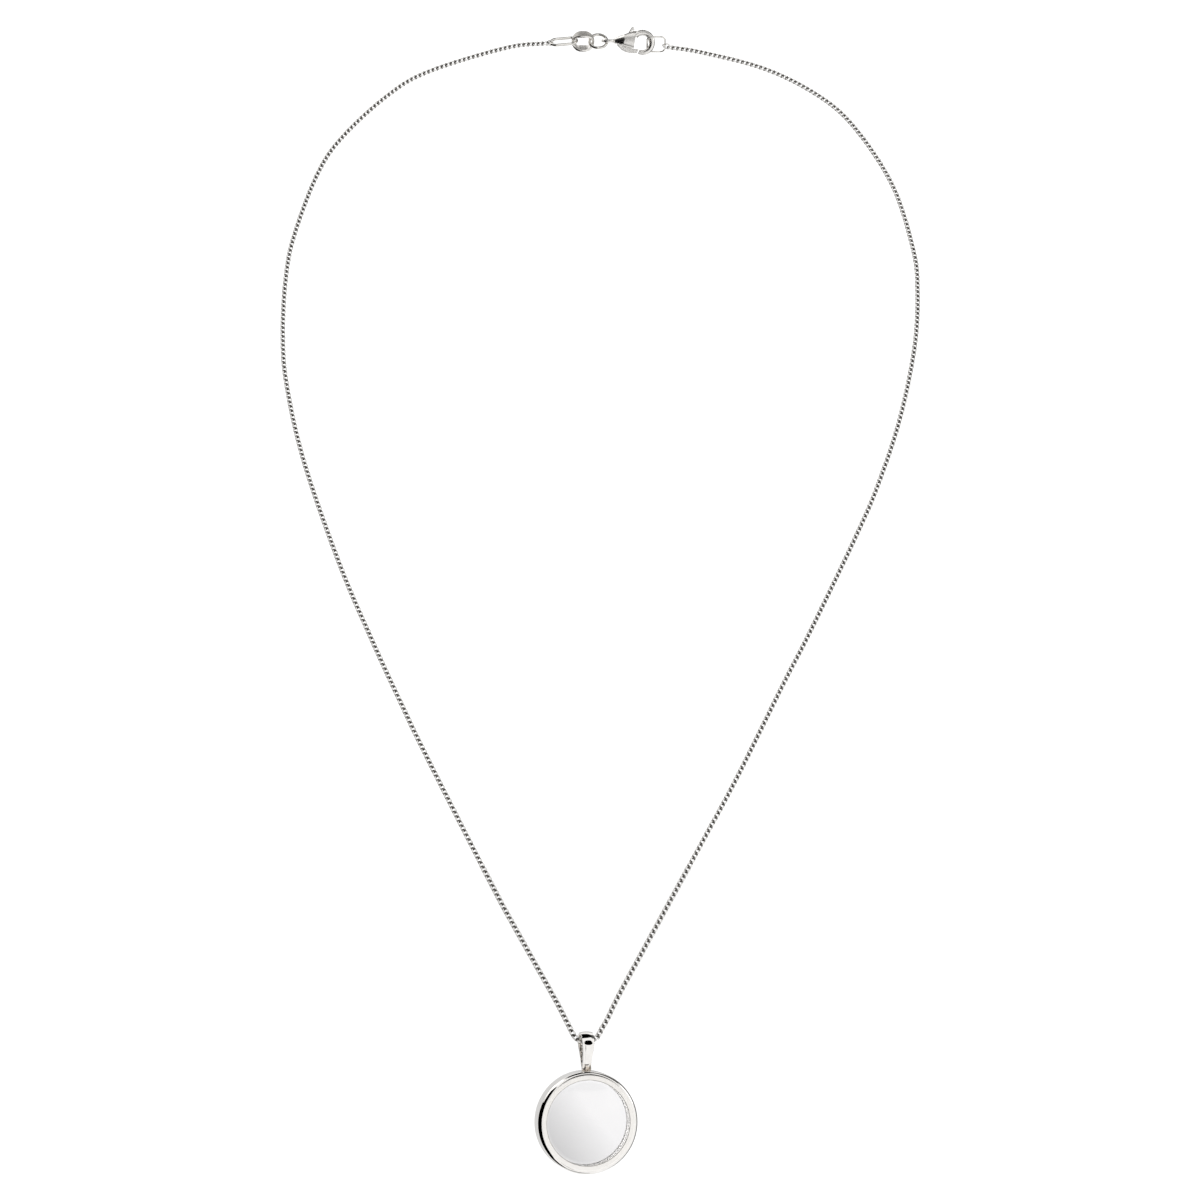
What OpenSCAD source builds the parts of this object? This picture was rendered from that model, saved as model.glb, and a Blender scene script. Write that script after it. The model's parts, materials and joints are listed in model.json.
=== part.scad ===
// Round crystal pendant on a fine curb chain, in the form it takes when worn.
// Millimetres. +Z is up, -Y faces the viewer, and the origin is at the nape of the neck.
// The chain lies in one plane that leans back from the vertical, and the pendant hangs plumb.

/* [Chain] */
// Outer width of the chain
chain_d = 0.9; // [0.7:0.05:0.9]
// Angle by which the plane of the chain leans back from the vertical
lean = 20; // [14:1:24]

/* [Pendant] */
// Outer diameter of the bezel
disc_d = 15.2; // [14.4:0.2:16]
// Thickness of the bezel, front to back
disc_t = 3.8; // [3.4:0.1:4.2]
// Diameter of the clear window
window_d = 12.6; // [12:0.1:12.8]
// Radius of the rounded front and back edges of the bezel
edge_r = 0.65; // [0.4:0.05:0.7]
// Thickness of each crystal
crystal_t = 0.8; // [0.6:0.05:0.9]
// Angle by which the pendant has turned on the chain
yaw = 12; // [0:1:14]

/* [Bail] */
// Height of the bail above the bezel
bail_h = 5.8; // [5.6:0.1:6.4]
// Depth of the bail, front to back
bail_d = 4; // [3.8:0.1:4.4]
// Width of the bail over its arch
bail_w = 1.9; // [1.6:0.05:1.9]
// Width of the bail at its foot
bail_foot_w = 1.3; // [1:0.05:1.4]
// Thickness of the bail's metal
bail_t = 0.5; // [0.4:0.05:0.5]

/* [Clasp] */
// Radius of the hook, to the middle of its bar
hook_r = 1.78; // [1.7:0.02:1.84]
// Diameter of the hook's bar
hook_bar_d = 0.84; // [0.7:0.02:0.9]
// Thickness of the lever
lever_t = 0.7; // [0.5:0.05:0.76]
// Diameter of the pin that the lever turns on
pin_d = 0.4; // [0.3:0.05:0.45]

/* [End rings] */
// Length of the ring at the left end of the chain
left_ring_l = 5.1; // [5:0.05:5.2]
// Wire of the ring at the left end of the chain and of the jump ring
ring_wire_d = 0.5; // [0.4:0.02:0.5]
// Length of the strap link
strap_l = 4; // [3.9:0.05:4]
// Width of the metal across the middle of the strap link
strap_w = 1.9; // [1.6:0.1:2]
// Wire of the thin ring at the right end of the chain
thin_wire_d = 0.3; // [0.24:0.02:0.34]

/* [Hidden] */
$fn = 64;
// Gap between pieces that only lie against each other
gap = 0.05;
// Overlap of solids that are joined into one
bite = 0.01;
// Length by which a cut runs on past what it cuts
past = 3;

// Route of the chain in its own leaning plane, from the left end ring round by the pendant to
// the right end ring: across, and up from the nape
route = [
    [-9.1, 0], [-16.5, -1], [-30, -6], [-37, -11], [-44.5, -19.5], [-48.5, -27], [-52, -39.5],
    [-53, -48], [-53, -58], [-52, -67.5], [-48.5, -82], [-42, -100.5], [-36.5, -113.5],
    [-31.5, -124.5], [-27, -134], [-16.5, -155], [-12.5, -162.5], [-7, -172.5], [-5.2, -176],
    [-4.3, -177.8], [-3.9, -178.6], [-3.3, -179.1], [-2.6, -179.3],
    [-1.6, -179.3], [-0.9, -179.1], [-0.3, -178.6], [0.1, -177.8],
    [1.1, -176], [3, -172], [7.5, -163.5], [16, -147.5], [21.5, -137], [29, -121.5], [33.5, -112.5],
    [41.5, -95.5], [45.5, -86], [49.5, -74], [52.5, -60.5], [53.5, -49.5], [53, -41.5], [50, -29],
    [44, -17.5], [38, -11], [29, -5.5], [18, -2], [11.7, -0.8]
];
// Route stretches longer than this are swept in two steps
long_stretch = 8;
chain_sides = 8;

// Where the bail hangs on the chain, in the leaning plane
hang = [-2.1, -179.3];
// Play between the top of the chain and the underside of the arch
bail_play = 0.4;

// Bezel and crystals, measured from the middle of the disc
disc_r = disc_d / 2;
window_r = window_d / 2;
lip_t = 0.55;
seat_r = window_r + 0.6;
ledge_r = window_r + 0.15;
seat_depth = crystal_t + 2 * gap;

// Bail, measured from the middle of the disc
arch_r = bail_d / 2;
arch_z = disc_r + bail_h - arch_r;
foot_r = 0.65;
foot_z = disc_r + 0.7;
// Width of the bail, row by row: width, height
bail_taper = [
    [bail_foot_w, foot_z - 2 * foot_r],
    [bail_foot_w + 0.1, arch_z - 1.5],
    [bail_w, arch_z + 0.6],
    [bail_w, arch_z + 2 * arch_r]
];
bead_r = 0.72;
bead_from = disc_r - 0.3;
bead_to = foot_z + 0.2;
axis_z = arch_z + arch_r - bail_t - bail_play - chain_d / 2;

// Clasp, measured from the middle of its tail loop
clasp_at = [1.63, 0, 0.4];
clasp_roll = 15;
loop_at = -0.18;
loop_r = 0.95;
loop_wire_d = 0.56;
cone_from = 0.75;
cone_to = 4.5;
cone_small_r = 0.42;
cone_big_r = 1.4;
cone_flat = 2.3;
hook_at = [5.82, -0.25];
hook_tip_angle = -112;
hook_root_angle = 140;
pivot = [1.8, -0.62];
pin_play = 0.06;
slot_w = 0.86;
slot_from = 1.25;
slot_top_from = 2.3;
slot_top_to = 4.05;
slot_top = -0.1;
lug_r = 0.5;
lug_out = 0.76;
gate_end = 5.02;
gate_top = -1.36;
gate_bottom = -2.15;
slit_angle = 65;
slit_w = 0.12;
slit_top = -1;
gate_room = [5, 4, 2.6];
// Lever's outline in the clasp's X and Z: its eye, its belly down to the gate, and the nub on top
lever_eye_r = 0.42;
lever_neck = 0.3;
lever_belly = [[2.25, -1.62], [3, -1.98], [3.9, gate_bottom]];
lever_nub = [[3.95, gate_top], [3.95, 1.55], [4.4, 2.35], [4.2, 2.5], [3.3, 1.6], [3.3, -0.9]];

// Links beside the clasp: place, then the roll about X and the slope about Y
left_ring_at = [-6.38, 0, 0.3];
left_ring_w = 2.6;
left_ring_roll = -45;
left_ring_slope = -5;
strap_at = [-2.98, 0, 0.3];
strap_h = 3.2;
strap_t = 0.45;
strap_end_w = 0.8;
strap_edge_r = 0.12;
strap_roll = 45;
jump_at = [-0.32, 0, 0.35];
jump_d = 3.6;
jump_roll = -27;
thin_at = [9.87, 0, -0.26];
thin_l = 3.4;
thin_w = 3.9;
thin_corner = 0.8;
thin_roll = 60;

// Position in space of a point of the leaning plane
function leaned(p) = [p[0], p[1] * sin(lean), p[1] * cos(lean)];

function unit(v) = v / norm(v);

// Point of the smooth curve between b and c, at u from 0 to 1
function between(a, b, c, d, u) =
    0.5 * (2 * b + (c - a) * u + (2 * a - 5 * b + 4 * c - d) * u * u + (3 * b - a - 3 * c + d) * u * u * u);

// The route as a smooth curve, with the steps that the sweep takes
function curve(p) =
    let (n = len(p) - 1, q = concat([2 * p[0] - p[1]], p, [2 * p[n] - p[n - 1]]))
    concat(
        [for (i = [0:n - 1], steps = [norm(p[i + 1] - p[i]) > long_stretch ? 2 : 1], k = [0:steps - 1])
            between(q[i], q[i + 1], q[i + 2], q[i + 3], k / steps)],
        [p[n]]
    );

// Direction of travel at point i of a line of points
function heading(p, i) = unit(p[min(i + 1, len(p) - 1)] - p[max(i - 1, 0)]);

// Round tube along points of the leaning plane
module tube(points, d, sides) {
    n = len(points);
    out = [0, cos(lean), -sin(lean)];
    ring_points = [
        for (i = [0:n - 1], k = [0:sides - 1])
            let (side = cross(out, unit(leaned(heading(points, i)))), a = 360 * k / sides)
            leaned(points[i]) + d / 2 * (cos(a) * side + sin(a) * out)
    ];
    walls = [
        for (i = [0:n - 2], k = [0:sides - 1])
            let (a = i * sides + k, b = i * sides + (k + 1) % sides)
            [a, a + sides, b + sides, b]
    ];
    near_cap = [for (k = [0:sides - 1]) k];
    far_cap = [for (k = [sides - 1:-1:0]) (n - 1) * sides + k];
    polyhedron(points = ring_points, faces = concat(walls, [near_cap, far_cap]), convexity = 10);
}

// Rectangle with round corners, centred
module rounded(w, h, r) {
    square([w - 2 * r, h], center = true);
    square([w, h - 2 * r], center = true);
    for (x = [-1, 1], y = [-1, 1])
        translate([x * (w / 2 - r), y * (h / 2 - r)])
            circle(r = r);
}

// Carries a section once round a rounded rectangle that stands in the XZ plane.
// l and w are its length and width to the middle of the section, r its corner radius.
module loop_of(l, w, r) {
    rotate([90, 0, 0]) {
        for (i = [0:3])
            translate([(i == 0 || i == 3 ? 1 : -1) * (l / 2 - r), (i < 2 ? 1 : -1) * (w / 2 - r), 0])
                rotate([0, 0, 90 * i])
                    rotate_extrude(angle = 90)
                        translate([r, 0])
                            children();
        if (l - 2 * r > bite)
            for (m = [0, 1])
                mirror([0, m, 0])
                    translate([r - l / 2, w / 2, 0])
                        rotate([90, 0, 90])
                            linear_extrude(l - 2 * r)
                                children();
        if (w - 2 * r > bite)
            for (m = [0, 1])
                mirror([m, 0, 0])
                    translate([l / 2, w / 2 - r, 0])
                        rotate([90, 0, 0])
                            linear_extrude(w - 2 * r)
                                children();
    }
}

// Two circles one above the other, joined by their outer tangents
module drop(top_r, top_y, foot_radius, foot_y) {
    rise = top_y - foot_y;
    a = asin((top_r - foot_radius) / rise);
    translate([0, top_y])
        circle(r = top_r);
    translate([0, foot_y])
        circle(r = foot_radius);
    polygon([
        for (s = [1, -1]) [s * top_r * cos(a), top_y - top_r * sin(a)],
        for (s = [-1, 1]) [s * foot_radius * cos(a), foot_y - foot_radius * sin(a)]
    ]);
}

// Stands the pendant's own frame, which starts at the middle of the disc, under the chain
module hung() {
    translate(leaned(hang))
        rotate([0, 0, yaw])
            translate([0, 0, -axis_z])
                children();
}

// The clasp's own frame, tipped so that its top comes towards the viewer
module at_clasp() {
    translate(clasp_at)
        rotate([clasp_roll, 0, 0])
            children();
}

// Extrudes an outline of the clasp, drawn in its X and Z, to a thickness about its middle plane
module plate(t) {
    rotate([90, 0, 0])
        linear_extrude(t, center = true)
            children();
}

module chain() {
    color("silver")
        tube(curve(route), chain_d, chain_sides);
}

module left_end_ring() {
    w = left_ring_w - ring_wire_d;
    color("gainsboro")
        translate(left_ring_at)
            rotate([left_ring_roll, left_ring_slope, 0])
                loop_of(left_ring_l - ring_wire_d, w, w / 2)
                    circle(d = ring_wire_d);
}

module strap_link() {
    h = strap_h - strap_t;
    // Radius of the two arcs that narrow the strap from its middle to its ends
    side_r = pow(strap_l / 2 - strap_t, 2) / (strap_w - strap_end_w);
    color("lightgray")
        translate(strap_at)
            rotate([strap_roll, 0, 0])
                union() {
                    intersection() {
                        loop_of(strap_l - strap_t, h, h / 2)
                            rounded(strap_t, strap_w, strap_edge_r);
                        intersection_for (s = [-1, 1])
                            translate([0, s * (side_r - strap_w / 2), 0])
                                cylinder(r = side_r, h = 2 * strap_h, center = true);
                    }
                    loop_of(strap_l - strap_t, h, h / 2)
                        rounded(strap_t, strap_end_w, strap_edge_r);
                }
}

module jump_ring() {
    color("gainsboro")
        translate(jump_at)
            rotate([90 + jump_roll, 0, 0])
                rotate_extrude()
                    translate([(jump_d - ring_wire_d) / 2, 0])
                        circle(d = ring_wire_d);
}

module right_end_ring() {
    color("gainsboro")
        translate(thin_at)
            rotate([thin_roll, 0, 0])
                loop_of(thin_l - thin_wire_d, thin_w - thin_wire_d, thin_corner)
                    circle(d = thin_wire_d);
}

// Pear-shaped half of the clasp, flattened front and back
module clasp_cone() {
    intersection() {
        translate([cone_from, 0, 0])
            rotate([0, 90, 0])
                cylinder(r1 = cone_small_r, r2 = cone_big_r, h = cone_to - cone_from);
        cube([2 * (cone_to + past), cone_flat, 2 * past], center = true);
    }
}

// Hook, an arc of round bar whose tip is cut along the slit
module hook() {
    difference() {
        translate([hook_at[0], 0, hook_at[1]])
            rotate([90, 0, 0])
                rotate([0, 0, hook_tip_angle])
                    rotate_extrude(angle = hook_root_angle - hook_tip_angle)
                        translate([hook_r, 0])
                            circle(d = hook_bar_d);
        gate_side(slit_w);
    }
}

// Everything on the gate's side of the slit, moved over by the slit's width
module gate_side(over) {
    translate([gate_end + over, 0, (gate_top + gate_bottom) / 2])
        rotate([0, 90 - slit_angle, 0])
            translate([-gate_room[0] / 2, 0, 0])
                cube(gate_room, center = true);
}

// Room in the clasp for the lever over its whole travel
module lever_slot() {
    translate([slot_from, -slot_w / 2, slot_top - past])
        cube([cone_to - slot_from + past, slot_w, past]);
    translate([slot_top_from, -slot_w / 2, slot_top - past])
        cube([slot_top_to - slot_top_from, slot_w, 2 * past]);
}

module clasp_body() {
    color("silver")
        at_clasp() {
            translate([loop_at, 0, 0])
                rotate_extrude()
                    translate([loop_r, 0])
                        circle(d = loop_wire_d);
            difference() {
                clasp_cone();
                lever_slot();
            }
            hook();
            for (s = [-1, 1])
                translate([pivot[0], s * (lug_out + slot_w / 2) / 2, pivot[1]])
                    rotate([90, 0, 0])
                        cylinder(r = lug_r, h = lug_out - slot_w / 2, center = true);
            translate([pivot[0], 0, pivot[1]])
                rotate([90, 0, 0])
                    cylinder(d = pin_d, h = slot_w + 2 * gap, center = true);
        }
}

module clasp_lever() {
    color("whitesmoke")
        at_clasp()
            difference() {
                intersection() {
                    plate(lever_t)
                        union() {
                            translate(pivot)
                                circle(r = lever_eye_r);
                            polygon(concat(
                                [pivot - [lever_neck, lever_neck]],
                                lever_belly,
                                [[gate_end + past, gate_bottom], [gate_end + past, gate_top]],
                                lever_nub,
                                [pivot + [lever_neck, lever_neck]]
                            ));
                        }
                    union() {
                        translate([0, -lever_t, slit_top])
                            cube([gate_end, 2 * lever_t, 2 * past]);
                        gate_side(0);
                    }
                }
                translate([pivot[0], 0, pivot[1]])
                    rotate([90, 0, 0])
                        cylinder(r = pin_d / 2 + pin_play, h = 2 * lever_t, center = true);
            }
}

// Half of the bezel's section, right of its axis: x is the radius and y runs to the back
module bezel_section() {
    half = disc_t / 2;
    difference() {
        union() {
            translate([window_r, -half])
                square([disc_r - window_r - edge_r, disc_t]);
            translate([window_r, edge_r - half])
                square([disc_r - window_r, disc_t - 2 * edge_r]);
            for (s = [-1, 1])
                translate([disc_r - edge_r, s * (half - edge_r)])
                    circle(r = edge_r);
        }
        for (s = [0, 1])
            mirror([0, s])
                translate([0, lip_t - half])
                    square([seat_r, seat_depth]);
        translate([0, -half])
            square([window_r, disc_t]);
        translate([0, lip_t + seat_depth - half - bite])
            square([ledge_r, disc_t - 2 * (lip_t + seat_depth) + 2 * bite]);
    }
}

module bezel() {
    rotate([90, 0, 0])
        rotate_extrude()
            bezel_section();
}

// Bail: a drop-shaped strap, narrowed towards its foot, on a bead of solder
module bail() {
    intersection() {
        rotate([90, 0, 90])
            linear_extrude(2 * bail_w, center = true)
                difference() {
                    drop(arch_r, arch_z, foot_r, foot_z);
                    drop(arch_r - bail_t, arch_z, foot_r - bail_t, foot_z);
                }
        rotate([90, 0, 0])
            linear_extrude(2 * bail_d, center = true)
                polygon(concat(
                    [for (row = bail_taper) [row[0] / 2, row[1]]],
                    [for (i = [len(bail_taper) - 1:-1:0]) [-bail_taper[i][0] / 2, bail_taper[i][1]]]
                ));
    }
    translate([0, 0, bead_from])
        cylinder(r1 = bead_r, r2 = foot_r, h = bead_to - bead_from);
}

module bezel_and_bail() {
    color("silver")
        hung() {
            bezel();
            bail();
        }
}

// Crystal that lies behind a lip; side is -1 at the front and 1 at the back
module crystal(side) {
    color("azure", 0.5)
        hung()
            translate([0, side * (disc_t / 2 - lip_t - gap - crystal_t / 2), 0])
                rotate([90, 0, 0])
                    cylinder(r = seat_r - gap, h = crystal_t, center = true);
}

module front_crystal() {
    crystal(-1);
}

module back_crystal() {
    crystal(1);
}

chain();
left_end_ring();
strap_link();
jump_ring();
clasp_body();
clasp_lever();
right_end_ring();
bezel_and_bail();
front_crystal();
back_crystal();
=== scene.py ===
import bpy
import bmesh
import json
import math
from mathutils import Matrix, Vector, noise


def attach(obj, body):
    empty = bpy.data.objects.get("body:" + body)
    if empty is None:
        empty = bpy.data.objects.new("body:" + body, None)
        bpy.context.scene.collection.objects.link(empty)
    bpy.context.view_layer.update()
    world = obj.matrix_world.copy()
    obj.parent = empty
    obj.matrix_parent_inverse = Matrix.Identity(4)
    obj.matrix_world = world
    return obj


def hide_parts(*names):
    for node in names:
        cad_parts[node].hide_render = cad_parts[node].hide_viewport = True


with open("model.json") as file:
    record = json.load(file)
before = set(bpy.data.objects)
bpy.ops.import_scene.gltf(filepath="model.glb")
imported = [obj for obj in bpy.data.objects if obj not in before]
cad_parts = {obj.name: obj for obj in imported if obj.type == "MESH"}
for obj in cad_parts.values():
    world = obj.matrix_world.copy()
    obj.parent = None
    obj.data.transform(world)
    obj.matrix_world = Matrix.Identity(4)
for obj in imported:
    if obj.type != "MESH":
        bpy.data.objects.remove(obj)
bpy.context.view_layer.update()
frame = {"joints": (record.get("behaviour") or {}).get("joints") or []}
mm = 0.001
joints = {joint["name"]: joint for joint in frame["joints"]}

# Camera

shot = {
    "place": (0, -0.4934, -0.1333),
    "aim": (0, 0.9974, 0.0715),
    "lens": 85.8,
    "sensor": 36,
}


def makeCamera(shot):
    data = bpy.data.cameras.new("camera")
    data.lens = shot["lens"]
    data.sensor_width = shot["sensor"]
    data.clip_start = 0.01
    data.clip_end = 50
    camera = bpy.data.objects.new("camera", data)
    camera.location = shot["place"]
    camera.rotation_euler = Vector(shot["aim"]).to_track_quat("-Z", "Y").to_euler()
    bpy.context.scene.collection.objects.link(camera)
    bpy.context.scene.camera = camera


makeCamera(shot)
print("camera made")

# Node trees


class Value:  # a socket that does its own maths
    def __init__(self, tree, socket):
        self.tree = tree
        self.socket = socket

    def out(self, name):  # another output of the same node
        return Value(self.tree, self.socket.node.outputs[name])

    def calc(self, operation, *others):
        return self.tree.add("ShaderNodeMath", {"operation": operation}, dict(enumerate((self,) + others)))

    def __add__(self, other):
        return self.calc("ADD", other)

    def __radd__(self, other):
        return self.calc("ADD", other)

    def __sub__(self, other):
        return self.calc("SUBTRACT", other)

    def __rsub__(self, other):
        return self.tree.add("ShaderNodeMath", {"operation": "SUBTRACT"}, {0: other, 1: self})

    def __mul__(self, other):
        return self.calc("MULTIPLY", other)

    def __rmul__(self, other):
        return self.calc("MULTIPLY", other)

    def __truediv__(self, other):
        return self.calc("DIVIDE", other)

    def held(self):  # kept between 0 and 1
        return self.calc("MAXIMUM", 0).calc("MINIMUM", 1)


class Tree:  # a node tree, and the one way that nodes are added to it
    def __init__(self, nodeTree):
        self.nodeTree = nodeTree

    def add(self, kind, settings=None, inputs=None, out=0):
        made = self.nodeTree.nodes.new(kind)
        for name, value in (settings or {}).items():
            setattr(made, name, value)
        for name, value in (inputs or {}).items():
            if isinstance(value, Value):
                self.nodeTree.links.new(value.socket, made.inputs[name])
            else:
                made.inputs[name].default_value = value
        return Value(self, made.outputs[out]) if made.outputs else made

    def noise(self, place, scale, detail=2):
        return self.add("ShaderNodeTexNoise", {}, {"Vector": place, "Scale": scale, "Detail": detail}, "Fac")

    def stretched(self, place, scale, turn=(0, 0, 0)):
        return self.add("ShaderNodeMapping", {}, {"Vector": place, "Scale": scale, "Rotation": turn})

    def mixed(self, amount, first, second):
        return self.add("ShaderNodeMix", {"data_type": "RGBA"}, {0: amount, 6: first, 7: second}, 2)


def newMaterial(name):
    material = bpy.data.materials.new(name)
    material.use_nodes = True
    material.node_tree.nodes.clear()
    return material, Tree(material.node_tree)


def colour(rgb):
    return (*rgb, 1)


# Metals

silver = {
    "light": (0.94, 0.92, 0.895),
    "dull": (0.88, 0.86, 0.83),
    "cloudScale": 900,
    "cloudGain": 2.4,
    "cloudFrom": 0.7,
    "hairScale": (3000, 26000, 9000),
    "hairTurn": (0.4, 0.2, 0.7),
    "hairHeight": 0.3,
    "waveScale": 1300,
    "metallic": 1.0,
}
reliefDepth = 0.00002  # metres
worn = dict(silver, light=(0.9, 0.88, 0.84), dull=(0.7, 0.68, 0.64), cloudScale=1500)  # the findings
castLook = dict(worn, light=(0.97, 0.95, 0.915), dull=(0.82, 0.8, 0.765))  # the clasp
wireLook = dict(silver, light=(0.97, 0.955, 0.93), dull=(0.92, 0.905, 0.88), paintedShade=(0.075, 0.068, 0.058),
                metallic=0.5)  # full silver colour along the sides of the links, darkened with painted shade where they cross


def metal(name, rough, spread, bump, look=silver):  # polished silver with hairlines and clouding
    material, tree = newMaterial(name)
    place = tree.add("ShaderNodeTexCoord", out="Object")
    cloud = tree.noise(place, look["cloudScale"], 3)
    hairs = tree.noise(tree.stretched(place, look["hairScale"], look["hairTurn"]), 1, 2)
    waves = tree.noise(place, look["waveScale"], 1)
    dulled = (cloud * look["cloudGain"] - look["cloudFrom"]).held()
    tint = tree.mixed(dulled, colour(look["light"]), colour(look["dull"]))
    if "paintedShade" in look:  # painted shade: the colour darkens where the mask falls, towards the ends of the links where they cross
        unshaded = tree.add("ShaderNodeAttribute", {"attribute_name": "unshaded"}, out="Fac")
        tint = tree.mixed(unshaded, colour(look["paintedShade"]), tint)
    ridges = tree.add("ShaderNodeBump", {}, {
        "Height": hairs * look["hairHeight"] + waves, "Strength": bump, "Distance": reliefDepth,
    })
    shader = tree.add("ShaderNodeBsdfPrincipled", {}, {
        "Base Color": tint,
        "Metallic": look["metallic"],
        "Roughness": rough + (cloud - 0.5) * spread + (hairs - 0.5) * spread * 0.5,
        "Normal": ridges,
    })
    tree.add("ShaderNodeOutputMaterial", {}, {"Surface": shader})
    return material


brush = {
    "light": (0.98, 0.955, 0.92),
    "dull": (0.925, 0.9, 0.865),
    "lineScale": (1500, 900, 42000),
    "lineTurn": (0, 0.35, 0),
    "lineGain": 1.6,
    "lineFrom": 0.3,
    "cloudScale": 700,
    "rough": 0.3,
    "spread": 0.08,
    "bump": 0.04,
    "metallic": 0.7,
}
seat = dict(brush, light=(0.99, 0.975, 0.95), dull=(0.95, 0.93, 0.9), rough=0.12, spread=0.04, bump=0.01,
            metallic=0.35)  # the walls inside the bezel
strip = dict(brush, light=(0.62, 0.6, 0.56), dull=(0.4, 0.385, 0.36), lineScale=(21000, 1200, 1200),
             lineTurn=(0, 0.1, 0), rough=0.42, spread=0.15, bump=0.35)  # across the broad link; on the bezel it also paints the dark line round the window's lip, painted shade


def satinMetal(name, look):  # fine straight lines of a brush
    material, tree = newMaterial(name)
    place = tree.add("ShaderNodeTexCoord", out="Object")
    lines = tree.noise(tree.stretched(place, look["lineScale"], look["lineTurn"]), 1, 3)
    cloud = tree.noise(place, look["cloudScale"], 2)
    dulled = (lines * look["lineGain"] - look["lineFrom"]).held()
    tint = tree.mixed(dulled, colour(look["light"]), colour(look["dull"]))
    ridges = tree.add("ShaderNodeBump", {}, {"Height": lines, "Strength": look["bump"], "Distance": reliefDepth})
    shader = tree.add("ShaderNodeBsdfPrincipled", {}, {
        "Base Color": tint,
        "Metallic": look["metallic"],
        "Roughness": look["rough"] + (lines - 0.5) * look["spread"] + (cloud - 0.5) * look["spread"],
        "Normal": ridges,
    })
    tree.add("ShaderNodeOutputMaterial", {}, {"Surface": shader})
    return material


bead = {
    "light": (0.97, 0.93, 0.86),
    "dark": (0.62, 0.52, 0.42),
    "grainScale": 2600,
    "grainGain": 3,
    "grainFrom": 1,
    "pitStrength": 0.8,
    "pitDepth": 0.00006,
    "rough": 0.62,
    "roughDrop": 0.35,
}


def solderMetal(name, look):  # pitted, as the solder cooled
    material, tree = newMaterial(name)
    place = tree.add("ShaderNodeTexCoord", out="Object")
    grain = tree.noise(place, look["grainScale"], 4)
    raised = (grain * look["grainGain"] - look["grainFrom"]).held()
    tint = tree.mixed(raised, colour(look["dark"]), colour(look["light"]))
    pits = tree.add("ShaderNodeBump", {}, {
        "Height": grain, "Strength": look["pitStrength"], "Distance": look["pitDepth"],
    })
    shader = tree.add("ShaderNodeBsdfPrincipled", {}, {
        "Base Color": tint,
        "Metallic": 1.0,
        "Roughness": look["rough"] - grain * look["roughDrop"],
        "Normal": pits,
    })
    tree.add("ShaderNodeOutputMaterial", {}, {"Surface": shader})
    return material


glass = {
    "clear": (0.985, 0.98, 0.982),
    "faint": (0.965, 0.962, 0.966),
    "hazeScale": 260,
    "hazeGain": 2,
    "hazeFrom": 0.5,
    "wipeScale": (900, 900, 5000),
    "wipeTurn": (0, 0.6, 0),
    "wipeFrom": 0.55,
    "wipeRough": 0.02,
    "ior": 1.55,
    "shine": 0.3,
}


def crystalGlass(name, look):
    material, tree = newMaterial(name)
    place = tree.add("ShaderNodeTexCoord", out="Object")
    haze = tree.noise(place, look["hazeScale"], 2)
    hazed = (haze * look["hazeGain"] - look["hazeFrom"]).held()
    wipes = tree.noise(tree.stretched(place, look["wipeScale"], look["wipeTurn"]), 1, 2)
    shader = tree.add("ShaderNodeBsdfPrincipled", {}, {
        "Base Color": tree.mixed(hazed, colour(look["clear"]), colour(look["faint"])),
        "Roughness": (wipes - look["wipeFrom"]).held() * look["wipeRough"],
        "IOR": look["ior"],
        "Specular IOR Level": look["shine"],
        "Transmission Weight": 1.0,
    })
    tree.add("ShaderNodeOutputMaterial", {}, {"Surface": shader})
    return material


polish = metal("polishedSilver", 0.05, 0.05, 0.12)
ringPolish = metal("ringSilver", 0.12, 0.06, 0.25, worn)
castPolish = metal("castSilver", 0.3, 0.08, 0.3, castLook)
wirePolish = metal("chainSilver", 0.3, 0.08, 0.3, wireLook)
satin = satinMetal("satinSilver", brush)
seatWall = satinMetal("seatSilver", seat)
stripBrushAndLipShade = satinMetal("brushedStripAndLipShade", strip)
solder = solderMetal("solder", bead)
crystal = crystalGlass("crystal", glass)
print("materials made")

# Meshes: points are in millimetres until they are placed


def turned(points, closed=True):  # direction of travel at each point of a line
    count = len(points)
    found = []
    for i in range(count):
        before = points[i - 1] if closed or i > 0 else points[i]
        after = points[(i + 1) % count] if closed or i < count - 1 else points[i]
        found.append((after - before).normalized())
    return found


def lofted(rings, closed=True):  # bmesh through rings of points, capped where it is open
    shape = bmesh.new()
    rows = [[shape.verts.new(point) for point in ring] for ring in rings]
    size = len(rows[0])
    for i in range(len(rows) if closed else len(rows) - 1):
        here, there = rows[i], rows[(i + 1) % len(rows)]
        for k in range(size):
            shape.faces.new((here[k], here[(k + 1) % size], there[(k + 1) % size], there[k]))
    if not closed:
        shape.faces.new(rows[0])
        shape.faces.new(rows[-1])
    bmesh.ops.recalc_face_normals(shape, faces=shape.faces)
    return shape


def circle(radius, sides):
    angles = [2 * math.pi * k / sides for k in range(sides)]
    return [(radius * math.cos(a), radius * math.sin(a)) for a in angles]


def swept(points, section, closed=True):  # carries sections, as (outward, along Y), round a line in the XZ plane
    up = Vector((0, 1, 0))
    rings = []
    for i, along in enumerate(turned(points, closed)):
        out = along.cross(up).normalized()
        rings.append([points[i] + out * u + up * v for u, v in section(i)])
    return lofted(rings, closed)


def arc(centre, radius, first, last, steps):  # points of an arc, in degrees
    angles = [math.radians(first + (last - first) * k / steps) for k in range(steps + 1)]
    return [(centre[0] + radius * math.cos(a), centre[1] + radius * math.sin(a)) for a in angles]


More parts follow.
